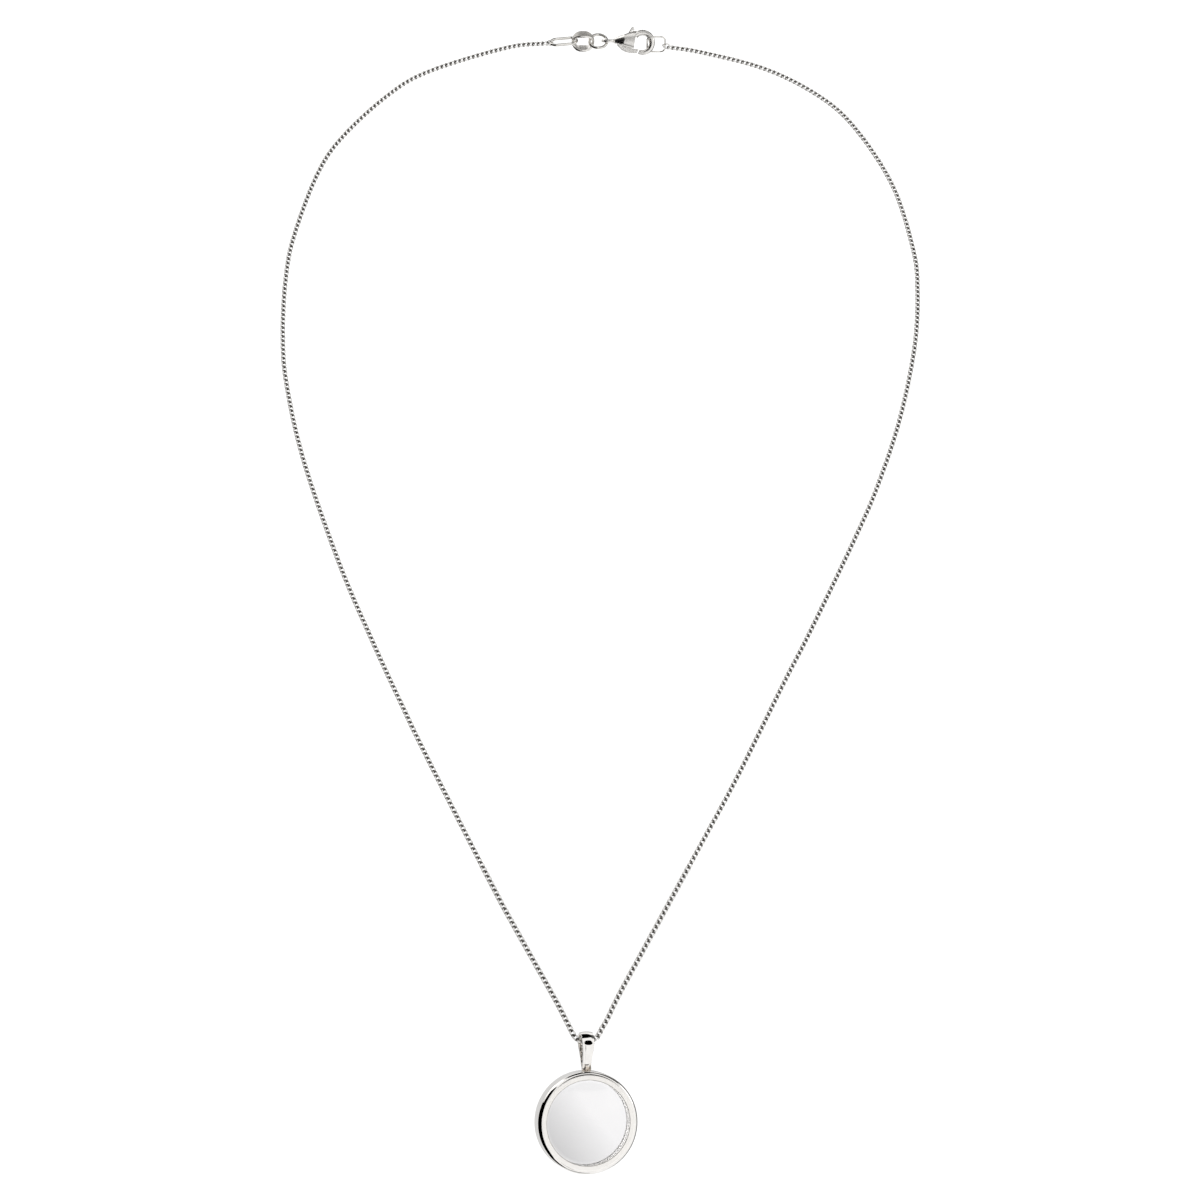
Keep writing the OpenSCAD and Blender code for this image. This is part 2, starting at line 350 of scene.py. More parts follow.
def loopLine(length, width, corner, steps, spacing=0.35):  # rounded rectangle that stands in the XZ plane
    x, z = length / 2 - corner, width / 2 - corner
    outline = []
    for i, (cx, cz) in enumerate(((x, z), (-x, z), (-x, -z), (x, -z))):
        outline += arc((cx, cz), corner, 90 * i, 90 * i + 90, steps)
    line = []
    for a, b in zip(outline, outline[1:] + outline[:1]):
        gap = math.dist(a, b)
        parts = max(1, round(gap / spacing))
        if gap > 0.0001:
            line += [Vector((a[0] + (b[0] - a[0]) * k / parts, 0, a[1] + (b[1] - a[1]) * k / parts))
                     for k in range(parts)]
    return line


def spline(a, b, c, d, u):  # the smooth curve through four values, between the middle two
    return 0.5 * (2 * b + (c - a) * u + (2 * a - 5 * b + 4 * c - d) * u * u + (3 * b - a - 3 * c + d) * u ** 3)


def gather(whole, shape):  # adds a shape to another, and frees it
    mesh = bpy.data.meshes.new("part")
    shape.to_mesh(mesh)
    shape.free()
    whole.from_mesh(mesh)
    bpy.data.meshes.remove(mesh)


def roll(degrees, axis="X"):
    return Matrix.Rotation(math.radians(degrees), 4, axis)


def addPiece(name, shape, place, materials, body, node, sharp=40):
    mesh = bpy.data.meshes.new(name)
    shape.to_mesh(mesh)
    shape.free()
    mesh.transform(Matrix.Scale(mm, 4) @ place)
    for material in materials:
        mesh.materials.append(material)
    mesh.shade_smooth()
    mesh.set_sharp_from_angle(angle=math.radians(sharp))
    piece = bpy.data.objects.new(name, mesh)
    bpy.context.scene.collection.objects.link(piece)
    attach(piece, body)
    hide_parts(node)
    return piece


# The pendant hangs plumb at its joint, and has turned on it
swing = joints["pendant_swing"]
hangPoint = Vector(swing["pos_m"]) / mm
yaw = math.atan2(swing["axis"][1], swing["axis"][0])

bezelSizes = {
    "diameter": 15.2,
    "thickness": 3.8,
    "window": 12.6,
    "edge": 0.65,
    "lip": 0.55,
    "lipEdge": 0.1,
    "seat": 6.9,
    "seatDepth": 0.9,
    "ledge": 6.33,
    "lipSteps": 5,
    "edgeSteps": 16,
    "satinSteps": 2,
    "steps": 192,
}
bailSizes = {
    "height": 5.8,
    "depth": 4,
    "metal": 0.5,
    "foot": 0.65,
    "footRise": 0.7,
    "play": 0.4,
    "chain": 0.9,
    "archSteps": 28,
    "legSteps": 16,
    "footSteps": 8,
}
discR = bezelSizes["diameter"] / 2
archR = bailSizes["depth"] / 2
archZ = discR + bailSizes["height"] - archR
axisZ = archZ + archR - bailSizes["metal"] - bailSizes["play"] - bailSizes["chain"] / 2
hung = Matrix.Translation(hangPoint) @ Matrix.Rotation(yaw, 4, "Z") @ Matrix.Translation((0, 0, -axisZ))


def latheRings(profile, steps):  # rings of a profile, listed as (radius, depth), round the Y axis
    return [[Vector((r * math.sin(a), y, r * math.cos(a))) for r, y in profile]
            for a in (2 * math.pi * k / steps for k in range(steps))]


def bezelProfile(sizes):  # rows of radius, depth and which metal follows, by its place in the slots
    half = sizes["thickness"] / 2
    edge, soft, window = sizes["edge"], sizes["lipEdge"], sizes["window"] / 2
    behindLip = half - sizes["lip"]
    behindSeat = behindLip - sizes["seatDepth"]
    support = 0.03  # rows beside the arcs, which keep the flats flat
    front = [(sizes["ledge"], -behindSeat, 2), (sizes["seat"], -behindSeat, 2), (sizes["seat"], -behindLip, 2)]
    front += [(window, -behindLip, 2), (window, support + soft - half, 2)]
    # the rounded lip round the window takes the dark strip metal: a painted shade line round the window
    front += [(r, y, 3) for r, y in arc((window + soft, soft - half), soft, 180, 270, sizes["lipSteps"])]
    front[-1] = (window + soft, -half, 1)
    front += [(window + soft + support, -half, 1), (discR - edge - support, -half, 1)]
    rim = arc((discR - edge, edge - half), edge, -90, 0, sizes["edgeSteps"])
    front += [(r, y, 1 if k < sizes["satinSteps"] else 0) for k, (r, y) in enumerate(rim)]
    front += [(discR, edge + support - half, 0)]
    return front + [(r, -y, metal) for r, y, metal in reversed(front)]


def makeBezel(sizes):
    profile = bezelProfile(sizes)
    shape = lofted(latheRings([row[:2] for row in profile], sizes["steps"]))
    metals = [row[2] for row in profile]
    half = len(profile) // 2
    metals = metals[:half] + metals[half - 1::-1][1:] + [2]  # the back half mirrors the front
    for n, face in enumerate(shape.faces):
        face.material_index = metals[n % len(profile)]
    materials = [polish, satin, seatWall, stripBrushAndLipShade]
    return addPiece("bezel", shape, hung, materials, "pendant", "bezel_and_bail")


def bailLine(sizes):  # outer line of the drop, with the way out of the strap at each point
    footZ = discR + sizes["footRise"]
    lean = math.degrees(math.asin((archR - sizes["foot"]) / (archZ - footZ)))
    arch, leg, foot = sizes["archSteps"], sizes["legSteps"], sizes["footSteps"]
    front = [(archR, archZ, (90 + lean) * k / arch) for k in range(arch + 1)]
    for k in range(1, leg):
        u = k / leg
        front.append((archR + (sizes["foot"] - archR) * u, archZ + (footZ - archZ) * u, 90 + lean))
    front += [(sizes["foot"], footZ, 90 + lean + (90 - lean) * k / foot) for k in range(foot + 1)]
    whole = [(r, z, math.radians(a)) for r, z, a in front]
    whole += [(r, z, -a) for r, z, a in reversed(whole[1:-1])]
    line = []
    for r, z, a in whole:
        out = Vector((0, -math.sin(a), math.cos(a)))
        line.append((Vector((0, 0, z)) + out * r, out))
    return line


bailTaper = [(discR, 1.3), (archZ - 2.2, 1.34), (archZ - 1, 1.55), (archZ + 0.3, 1.84), (archZ + archR, 1.88)]


def widthAt(z, taper):
    for (z0, w0), (z1, w1) in zip(taper, taper[1:]):
        if z <= z1:
            u = max(0, (z - z0) / (z1 - z0))
            return w0 + (w1 - w0) * u
    return taper[-1][1]


def strapSection(width, metal, corner=0.035, slope=12.5):  # gently domed outside, flat inside, as (across, out)
    half, steps = width / 2, 6
    rise = math.radians(slope) * half / 2
    domed = [(half * u, -rise * u * u) for u in (k / steps - 1 for k in range(2 * steps + 1))]
    outer = [(x * (half - corner) / half, z) for x, z in domed]
    right = arc((half - corner, -rise - corner), corner, 80, 0, 6)
    right += arc((half - corner, corner - metal), corner, 0, -90, 5)
    left = [(-x, z) for x, z in reversed(right)]
    return outer + right + [(0, -metal)] + left


def makeBail(sizes):
    rings = []
    for point, out in bailLine(sizes):
        width = widthAt(point.z, bailTaper)
        rings.append([point + Vector((x, 0, 0)) + out * n for x, n in strapSection(width, sizes["metal"])])
    return addPiece("bail", lofted(rings), hung, [polish], "pendant", "bezel_and_bail", sharp=50)


beadSizes = {
    "from": -0.3, "to": 1.45, "wide": 0.68, "deep": 0.78, "aside": 0.1,
    "square": 0.6, "lump": 0.2, "grain": 2.1, "fineShare": 0.2, "fineGrain": 5, "shrink": 0.3,
}


def makeBead(sizes):  # lump of solder between the bezel and the bail
    shape = bmesh.new()
    bmesh.ops.create_icosphere(shape, subdivisions=5, radius=1)
    middle = discR + (sizes["from"] + sizes["to"]) / 2
    half = (sizes["to"] - sizes["from"]) / 2
    for vert in shape.verts:
        way = vert.co.normalized()
        blunt = [math.copysign(abs(c) ** sizes["square"], c) for c in way]
        fine = sizes["fineShare"] * noise.noise(way * sizes["fineGrain"])
        bulge = 1 + sizes["lump"] * (noise.noise(way * sizes["grain"]) + fine - sizes["shrink"])
        vert.co = Vector((blunt[0] * sizes["wide"], blunt[1] * sizes["deep"], blunt[2] * half)) * bulge
        vert.co += Vector((sizes["aside"], 0, middle))
    return addPiece("solderBead", shape, hung, [solder], "pendant", "bezel_and_bail", sharp=80)


crystalSizes = {
    "radius": 6.85, "thickness": 0.8, "middle": 0.9, "dome": 0.32, "domeR": 6.22, "edge": 0.06,
    "domeSteps": 14, "steps": 96,
}


def crystalProfile(sizes):  # from the middle of the outer face round the rim to the middle of the inner one
    half = sizes["thickness"] / 2
    profile = []
    for k in range(sizes["domeSteps"] + 1):
        u = k / sizes["domeSteps"]
        profile.append((sizes["domeR"] * u, -half - sizes["dome"] * (1 - u * u)))
    rim, edge = sizes["radius"], sizes["edge"]
    profile += [(rim - edge, -half), (rim, edge - half), (rim, half - edge), (rim - edge, half), (0, half)]
    return profile


def makeCrystal(name, node, side, sizes):
    shape = bmesh.new()
    profile = [(r, side * (sizes["middle"] - y)) for r, y in crystalProfile(sizes)]
    rows = [[shape.verts.new(point) for point in ring] for ring in latheRings(profile, sizes["steps"])]
    for here, there in zip(rows, rows[1:] + rows[:1]):
        for k in range(len(profile) - 1):
            shape.faces.new((here[k], here[k + 1], there[k + 1], there[k]))
    bmesh.ops.remove_doubles(shape, verts=shape.verts, dist=0.0001)
    bmesh.ops.recalc_face_normals(shape, faces=shape.faces)
    return addPiece(name, shape, hung, [crystal], "pendant", node, sharp=25)


makeBezel(bezelSizes)
makeBail(bailSizes)
makeBead(beadSizes)
makeCrystal("frontCrystal", "front_crystal", -1, crystalSizes)
makeCrystal("backCrystal", "back_crystal", 1, crystalSizes)
print("pendant made")

# Rings beside the clasp: size, then the place and the turns of each

leftRing = {"length": 5.1, "width": 2.6, "wire": 0.5, "at": (-6.38, 0, 0.3), "roll": -45, "slope": -5}
rightRing = {"length": 3.4, "width": 3.9, "corner": 0.8, "wire": 0.3, "at": (9.81, 0, -0.2), "roll": 60}
jumpRing = {"diameter": 3.6, "wire": 0.5, "at": (-0.32, 0, 0.35), "roll": -27}
strapLink = {
    "length": 4, "height": 3.2, "metal": 0.45, "wide": 1.9, "narrow": 0.8, "edge": 0.12,
    "at": (-2.98, 0, 0.3), "roll": 45, "steps": 22, "sideways": 0.6,
}


def placed(sizes):
    return Matrix.Translation(sizes["at"]) @ roll(sizes.get("slope", 0), "Y") @ roll(sizes["roll"])


def wireLoop(length, width, corner, wire, steps=16, sides=20):  # sizes to the middle of the wire
    return swept(loopLine(length, width, corner, steps), lambda i: circle(wire / 2, sides))


def makeWireRing(name, node, sizes):
    wire = sizes["wire"]
    if "diameter" in sizes:
        length = width = sizes["diameter"] - wire
    else:
        length, width = sizes["length"] - wire, sizes["width"] - wire
    shape = wireLoop(length, width, sizes.get("corner", width / 2), wire)
    return addPiece(name, shape, placed(sizes), [ringPolish], "necklace", node, sharp=60)


def roundedSection(thick, wide, edge, steps=4):  # as (outward, along Y)
    u, v = thick / 2 - edge, wide / 2 - edge
    points = []
    for i, (cu, cv) in enumerate(((u, v), (-u, v), (-u, -v), (u, -v))):
        points += arc((cu, cv), edge, 90 * i, 90 * i + 90, steps)
    return points


def makeStrapLink(sizes):
    metalT = sizes["metal"]
    height = sizes["height"] - metalT
    line = loopLine(sizes["length"] - metalT, height, height / 2, sizes["steps"])
    reach = sizes["length"] / 2 - metalT / 2

    def section(i):
        u = min(1, abs(line[i].x) / reach)
        wide = sizes["narrow"] + (sizes["wide"] - sizes["narrow"]) * (1 - u * u)
        return roundedSection(metalT, wide, sizes["edge"])

    shape = swept(line, section)
    shape.faces.ensure_lookup_table()
    for face in shape.faces:  # the outer side is brushed across, the inner one satin, the edges polished
        at, way = face.calc_center_median(), face.normal
        if abs(way.y) < sizes["sideways"]:
            face.material_index = 1 if way.x * at.x + way.z * at.z > 0 else 2
    materials = [castPolish, stripBrushAndLipShade, satin]
    return addPiece("strapLink", shape, placed(sizes), materials, "necklace", "strap_link", sharp=50)


makeWireRing("leftEndRing", "left_end_ring", leftRing)
makeWireRing("jumpRing", "jump_ring", jumpRing)
makeWireRing("rightEndRing", "right_end_ring", rightRing)
makeStrapLink(strapLink)
print("rings made")

# Clasp, in its own frame: X runs from the tail loop to the hook, Z is up

claspSizes = {
    "roll": 15,
    "pivot": (1.8, -0.62),
    "loopAt": -0.18, "loopR": 0.95, "loopWire": 0.56,
    "coneFrom": 0.75, "coneTo": 4.5, "coneFlat": 2.3, "coneSkew": 0.3,
    "coneRows": [(0.75, 0.44, 0.42), (1.6, 0.86, 0.72), (2.6, 1.3, 1.02), (3.6, 1.66, 1.3), (4.5, 1.74, 1.42)],
    "hookAt": (5.82, -0.25), "hookR": 2.2, "hookTip": -112, "hookRoot": 140,
    "hookRows": [(-112, 0.43, 0.44), (-50, 0.47, 0.47), (20, 0.56, 0.57), (80, 0.52, 0.72), (140, 0.52, 0.95)],
    "slotW": 0.86, "slotFrom": 1.25, "slotTopFrom": 2.3, "slotTopTo": 4.05, "slotTop": -0.1,
    "lugR": 0.42, "lugOut": 0.7, "pin": 0.4, "pinPlay": 0.06, "pinSunk": 0.05,
    "gateEnd": 5.02, "gateTop": -1.36, "gateBottom": -2.15, "slitAngle": 65, "slitW": 0.12,
    "gateRoom": (5, 4, 2.6),
    "leverT": 0.7, "leverEye": 0.42, "leverNeck": 0.3,
    "leverBelly": [(2.25, -1.62), (3, -1.98), (3.9, -2.15)],
    "leverNub": [(3.93, -1.36), (3.93, 1.77), (4.46, 1.85), (4.3, 2.35), (4.15, 2.5), (4, 2.42), (3.42, 1.6),
                 (3.3, -0.9)],
    "grain": 0.04,
    "smooth": 3,
}
press = joints["lever_press"]
claspTurn = roll(claspSizes["roll"])
pivotPoint = Vector((claspSizes["pivot"][0], 0, claspSizes["pivot"][1]))
claspPlace = Matrix.Translation(Vector(press["pos_m"]) / mm - claspTurn @ pivotPoint) @ claspTurn


def block(low, high, place=Matrix()):
    shape = bmesh.new()
    bmesh.ops.create_cube(shape, size=1)
    size = Vector(high) - Vector(low)
    middle = (Vector(high) + Vector(low)) / 2
    shape.transform(place @ Matrix.Translation(middle) @ Matrix.Diagonal((*size, 1)))
    return shape


def rod(radius, length, place):  # cylinder along Y
    shape = bmesh.new()
    bmesh.ops.create_cone(shape, cap_ends=True, segments=32, radius1=radius, radius2=radius, depth=length)
    shape.transform(place @ roll(90))
    return shape


def plate(outline, thickness):  # outline in X and Z, thick about the middle plane
    shape = bmesh.new()
    face = shape.faces.new([shape.verts.new((x, -thickness / 2, z)) for x, z in outline])
    grown = bmesh.ops.extrude_face_region(shape, geom=[face])
    for item in grown["geom"]:
        if isinstance(item, bmesh.types.BMVert):
            item.co.y += thickness
    bmesh.ops.recalc_face_normals(shape, faces=shape.faces)
    return shape


def asObject(name, shape):
    mesh = bpy.data.meshes.new(name)
    shape.to_mesh(mesh)
    shape.free()
    made = bpy.data.objects.new(name, mesh)
    bpy.context.scene.collection.objects.link(made)
    return made


def settled(made):  # bmesh of an object with its modifiers worked in; the object goes
    depsgraph = bpy.context.evaluated_depsgraph_get()
    mesh = bpy.data.meshes.new_from_object(made.evaluated_get(depsgraph))
    shape = bmesh.new()
    shape.from_mesh(mesh)
    bpy.data.meshes.remove(mesh)
    bpy.data.objects.remove(made)
    return shape


def cut(shape, tools):
    made = asObject("work", shape)
    helpers = []
    for tool in tools:
        helper = asObject("tool", tool)
        modifier = made.modifiers.new("cut", "BOOLEAN")
        modifier.operation = "DIFFERENCE"
        modifier.solver = "EXACT"
        modifier.object = helper
        helpers.append(helper)
    result = settled(made)
    for helper in helpers:
        bpy.data.objects.remove(helper)
    return result


def cast(shapes, grain, smooth):  # one skin over overlapping shapes, its edges softened
    whole = bmesh.new()
    for shape in shapes:
        gather(whole, shape)
    made = asObject("cast", whole)
    skin = made.modifiers.new("skin", "REMESH")
    skin.mode = "VOXEL"
    skin.voxel_size = grain
    soften = made.modifiers.new("soften", "SMOOTH")
    soften.factor = 0.5
    soften.iterations = smooth
    return settled(made)


def gateSide(sizes, over, room):
    middle = Vector((sizes["gateEnd"] + over, 0, (sizes["gateTop"] + sizes["gateBottom"]) / 2))
    place = Matrix.Translation(middle) @ roll(90 - sizes["slitAngle"], "Y")
    return block((-room[0], -room[1] / 2, -room[2] / 2), (0, room[1] / 2, room[2] / 2), place)


def between(rows, at):  # values of a table at a place in its first column, along smooth curves
    rows = [rows[0]] + list(rows) + [rows[-1]]
    for first, before, after, last in zip(rows, rows[1:], rows[2:], rows[3:]):
        if at <= after[0] or last is after:
            u = min(1, max(0, (at - before[0]) / (after[0] - before[0])))
            return [spline(*values, u) for values in zip(first[1:], before[1:], after[1:], last[1:])]


def coneShape(sizes):  # its big end leans back towards the tail at the foot
    rings = []
    steps, sides = 24, 48
    for k in range(steps + 1):
        u = k / steps
        x = sizes["coneFrom"] + (sizes["coneTo"] - sizes["coneFrom"]) * u
        top, bottom = between(sizes["coneRows"], x)
        ring = []
        for i in range(sides):
            a = 2 * math.pi * i / sides
            high = math.cos(a)
            z = high * (top if high > 0 else bottom)
            deep = min((top + bottom) / 2, sizes["coneFlat"] / 2)
            ring.append(Vector((x + sizes["coneSkew"] * u * z / top, deep * math.sin(a), z)))
        rings.append(ring)
    return lofted(rings, closed=False)


def makeClaspBody(sizes):
    past = 3  # beyond the cone
    half = sizes["slotW"] / 2
    slot = block((sizes["slotFrom"], -half, sizes["slotTop"] - past),
                 (sizes["coneTo"] + past, half, sizes["slotTop"]))
    well = block((sizes["slotTopFrom"], -half, sizes["slotTop"] - past),
                 (sizes["slotTopTo"], half, sizes["slotTop"] + past))
    cone = cut(coneShape(sizes), [slot, well])
    loop = wireLoop(2 * sizes["loopR"], 2 * sizes["loopR"], sizes["loopR"], sizes["loopWire"])
    loop.transform(Matrix.Translation((sizes["loopAt"], 0, 0)) @ roll(90))
    hookX, hookZ = sizes["hookAt"]
    bars, line = [], []
    steps = 60
    for k in range(steps + 1):
        degrees = sizes["hookTip"] + (sizes["hookRoot"] - sizes["hookTip"]) * k / steps
        thick, deep = between(sizes["hookRows"], degrees)
        a, r = math.radians(degrees), sizes["hookR"] - thick
        line.append(Vector((hookX + r * math.cos(a), 0, hookZ + r * math.sin(a))))
        bars.append([(u * thick, v * deep) for u, v in circle(1, 24)])
    hook = swept(line, lambda i: bars[i], closed=False)
    hook = cut(hook, [gateSide(sizes, sizes["slitW"], sizes["gateRoom"])])
    px, pz = sizes["pivot"]
    lugT = sizes["lugOut"] - half
    lugs = [rod(sizes["lugR"], lugT, Matrix.Translation((px, side * (half + lugT / 2), pz))) for side in (-1, 1)]
    pin = rod(sizes["pin"] / 2, 2 * (half + sizes["pinSunk"]), Matrix.Translation((px, 0, pz)))
    shape = cast([cone, loop, hook, pin] + lugs, sizes["grain"], sizes["smooth"])
    return addPiece("claspBody", shape, claspPlace, [castPolish], "necklace", "clasp_body", sharp=80)


def makeClaspLever(sizes):
    px, pz = sizes["pivot"]
    neck = sizes["leverNeck"]
    slope = math.tan(math.radians(90 - sizes["slitAngle"]))
    tilt = slope * (sizes["gateTop"] - sizes["gateBottom"]) / 2
    outline = [(px - neck, pz - neck)] + sizes["leverBelly"]
    outline += [(sizes["gateEnd"] - tilt, sizes["gateBottom"]), (sizes["gateEnd"] + tilt, sizes["gateTop"])]
    outline += sizes["leverNub"] + [(px + neck, pz + neck)]
    place = Matrix.Translation((px, 0, pz))
    solids = [plate(outline, sizes["leverT"]), rod(sizes["leverEye"], sizes["leverT"], place)]
    bored = [cut(solid, [rod(sizes["pin"] / 2 + sizes["pinPlay"], 2, place)]) for solid in solids]
    shape = cast(bored, sizes["grain"], sizes["smooth"])
    return addPiece("claspLever", shape, claspPlace, [castPolish], "lever", "clasp_lever", sharp=80)


makeClaspBody(claspSizes)
makeClaspLever(claspSizes)
print("clasp made")

# Chain: links along the same route as the tube in the frame

chainSizes = {
    "lean": 20,
    "pitch": 0.835,
    "width": 0.93,
    "wire": 0.29,
    "slack": 0.02,
    "twist": 55,
    "flat": 0.19,
    # half length of each link kept clear of painted shade; towards the ends the colour darkens as painted shade
    "side": 0.445,
    "worn": 0.35,
    "sides": 16,
    "wireSides": 6,
    "route": [
        (-9.1, 0), (-16.5, -1), (-30, -6), (-37, -11), (-44.5, -19.5), (-48.5, -27), (-52, -39.5),
        (-53, -48), (-53, -58), (-52, -67.5), (-48.5, -82), (-42, -100.5), (-36.5, -113.5),
        (-31.5, -124.5), (-27, -134), (-16.5, -155), (-12.5, -162.5), (-7, -172.5), (-5.2, -176),
        (-4.3, -177.8), (-3.9, -178.6), (-3.3, -179.1), (-2.6, -179.3),
        (-1.6, -179.3), (-0.9, -179.1), (-0.3, -178.6), (0.1, -177.8),
        (1.1, -176), (3, -172), (7.5, -163.5), (16, -147.5), (21.5, -137), (29, -121.5), (33.5, -112.5),
        (41.5, -95.5), (45.5, -86), (49.5, -74), (52.5, -60.5), (53.46, -49.5), (53, -41.5), (50, -29),
        (44, -17.5), (38, -11), (29, -5.5), (18, -2), (11.7, -0.8),
    ],
    "steps": 14,
}
endLinks = {  # "reach" is where the chain's own links end
    "wire": 0.25,
    # share of the end links kept clear of painted shade
    "unshaded": 0.85,
    "left": {"middle": (-8.83, -0.02, 0.05), "way": (-0.99, 0.05, -0.14), "face": (-0.14, -0.07, 0.99),
             "long": 0.56, "half": 0.45, "twist": 69, "reach": -9.07},
    "right": {"middle": (11.63, 0, -0.49), "way": (0.78, -0.43, -0.46), "face": (-0.52, -0.04, -0.85),
              "long": 0.72, "half": 0.44, "twist": 59, "reach": 11.78},
}


def leaned(point, lean):
    a = math.radians(lean)
    return Vector((point[0], point[1] * math.sin(a), point[1] * math.cos(a)))


def smoothRoute(sizes):  # the smooth curve through the route's points
    points = [leaned(p, sizes["lean"]) for p in sizes["route"]]
    points = [2 * points[0] - points[1]] + points + [2 * points[-1] - points[-2]]
    line = []
    for a, b, c, d in zip(points, points[1:], points[2:], points[3:]):
        for k in range(sizes["steps"]):
            line.append(spline(a, b, c, d, k / sizes["steps"]))
    return line + [points[-2]]


def linkTree():  # geometry nodes: one twisted link, repeated along a line
    group = bpy.data.node_groups.new("linksAlongLine", "GeometryNodeTree")
    group.interface.new_socket("Geometry", in_out="INPUT", socket_type="NodeSocketGeometry")
    for name, kind in (("Start", "Float"), ("End", "Float"), ("Count", "Int"), ("Half Length", "Float"),
                       ("Half Width", "Float"), ("Wire", "Float"), ("Twist", "Float"), ("Sides", "Int"),
                       ("Wire Sides", "Int"), ("Flat", "Float"), ("Side", "Float"), ("Unshaded Reach", "Float"),
                       ("Facing", "Vector"), ("Material", "Material")):
        group.interface.new_socket(name, in_out="INPUT", socket_type="NodeSocket" + kind)
    group.interface.new_socket("Geometry", in_out="OUTPUT", socket_type="NodeSocketGeometry")
    tree = Tree(group)
    given = tree.add("NodeGroupInput")
    halfLength, halfWidth = given.out("Half Length"), given.out("Half Width")
    line = tree.add("GeometryNodeMeshToCurve", {}, {"Mesh": given.out("Geometry")})
    line = tree.add("GeometryNodeTrimCurve", {"mode": "LENGTH"}, {
        "Curve": line, 4: given.out("Start"), 5: given.out("End"),
    })
    line = tree.add("GeometryNodeResampleCurve", {"mode": "COUNT"}, {"Curve": line, "Count": given.out("Count")})
    turn = tree.add("FunctionNodeAxesToRotation", {"primary_axis": "X", "secondary_axis": "Z"}, {
        "Primary Axis": tree.add("GeometryNodeInputTangent"), "Secondary Axis": given.out("Facing"),
    })
    oval = tree.add("GeometryNodeCurvePrimitiveCircle", {"mode": "RADIUS"}, {
        "Resolution": given.out("Sides"), "Radius": 1.0,
    })
    where = tree.add("ShaderNodeSeparateXYZ", {}, {0: tree.add("GeometryNodeInputPosition")})
    x, y = where.out("X"), where.out("Y")
    straight = (x * 2).calc("MAXIMUM", -1).calc("MINIMUM", 1)
    along = x * halfWidth + straight * (halfLength - halfWidth)
    aside = y * halfWidth
    angle = along / halfLength * given.out("Twist")
    bent = tree.add("ShaderNodeCombineXYZ", {}, {
        "X": along, "Y": aside * angle.calc("COSINE"), "Z": aside * angle.calc("SINE"),
    })
    oval = tree.add("GeometryNodeSetPosition", {}, {"Geometry": oval, "Position": bent})
    wireSection = tree.add("GeometryNodeCurvePrimitiveCircle", {"mode": "RADIUS"}, {
        "Resolution": given.out("Wire Sides"), "Radius": given.out("Wire") * 0.5,
    })
    link = tree.add("GeometryNodeCurveToMesh", {}, {"Curve": oval, "Profile Curve": wireSection})
    where = tree.add("ShaderNodeSeparateXYZ", {}, {0: tree.add("GeometryNodeInputPosition")})
    flat, side = given.out("Flat"), given.out("Side")
    filed = tree.add("ShaderNodeCombineXYZ", {}, {
        "X": where.out("X"),
        "Y": where.out("Y").calc("MAXIMUM", 0 - side).calc("MINIMUM", side),
        "Z": where.out("Z").calc("MAXIMUM", 0 - flat).calc("MINIMUM", flat),
    })
    fade = 3  # over a third of the wire
    # mask of painted shade: 1 along the middle of each link, falling to 0 towards its ends, where the links cross
    unshaded = ((given.out("Unshaded Reach") - where.out("X").calc("ABSOLUTE")) / given.out("Wire") * fade + 0.5).held()
    link = tree.add("GeometryNodeStoreNamedAttribute", {"data_type": "FLOAT", "domain": "POINT"}, {
        "Geometry": link, "Name": "unshaded", "Value": unshaded,
    })
    link = tree.add("GeometryNodeSetPosition", {}, {"Geometry": link, "Position": filed})
    link = tree.add("GeometryNodeSetShadeSmooth", {}, {"Geometry": link})
    links = tree.add("GeometryNodeInstanceOnPoints", {}, {"Points": line, "Instance": link, "Rotation": turn})
    links = tree.add("GeometryNodeRealizeInstances", {}, {"Geometry": links})
    links = tree.add("GeometryNodeSetMaterial", {}, {"Geometry": links, "Material": given.out("Material")})
    tree.add("NodeGroupOutput", {}, {"Geometry": links})
    return group


def lengthsOf(line):
    run = [0]
    for a, b in zip(line, line[1:]):
        run.append(run[-1] + (b - a).length)
    return run


def lengthAtX(line, run, x, fromEnd=False):  # length along the line where it first reaches a given X
    order = range(len(line) - 1, 0, -1) if fromEnd else range(1, len(line))
    for i in order:
        a, b = line[i - 1], line[i]
        if min(a.x, b.x) <= x <= max(a.x, b.x):
            return run[i - 1] + (run[i] - run[i - 1]) * (x - a.x) / (b.x - a.x)


def endLink(sizes, wire):  # twisted oval link between an end ring and the chain
    way = Vector(sizes["way"]).normalized()
    face = Vector(sizes["face"])
    face = (face - way * face.dot(way)).normalized()
    sides, wireSides = 32, 8
    half, long = sizes["half"], sizes["long"]
    line, ups = [], []
    for k in range(sides):
        a = 2 * math.pi * k / sides
        along = math.cos(a) * half + max(-1, min(1, 2 * math.cos(a))) * (long - half)
        bend = math.radians(sizes["twist"]) * along / long
        aside = math.sin(a) * half
        line.append(Vector((along, aside * math.cos(bend), aside * math.sin(bend))))
        ups.append(Vector((0, -math.sin(bend), math.cos(bend))))
    rings = []
    for point, along, up in zip(line, turned(line), ups):
        out = along.cross(up).normalized()
        lift = out.cross(along)
        rings.append([point + out * u + lift * v for u, v in circle(wire / 2, wireSides)])
    shape = lofted(rings)
    turn = Matrix((way, face, way.cross(face))).transposed().to_4x4()
    shape.transform(Matrix.Translation(sizes["middle"]) @ turn)
    return shape


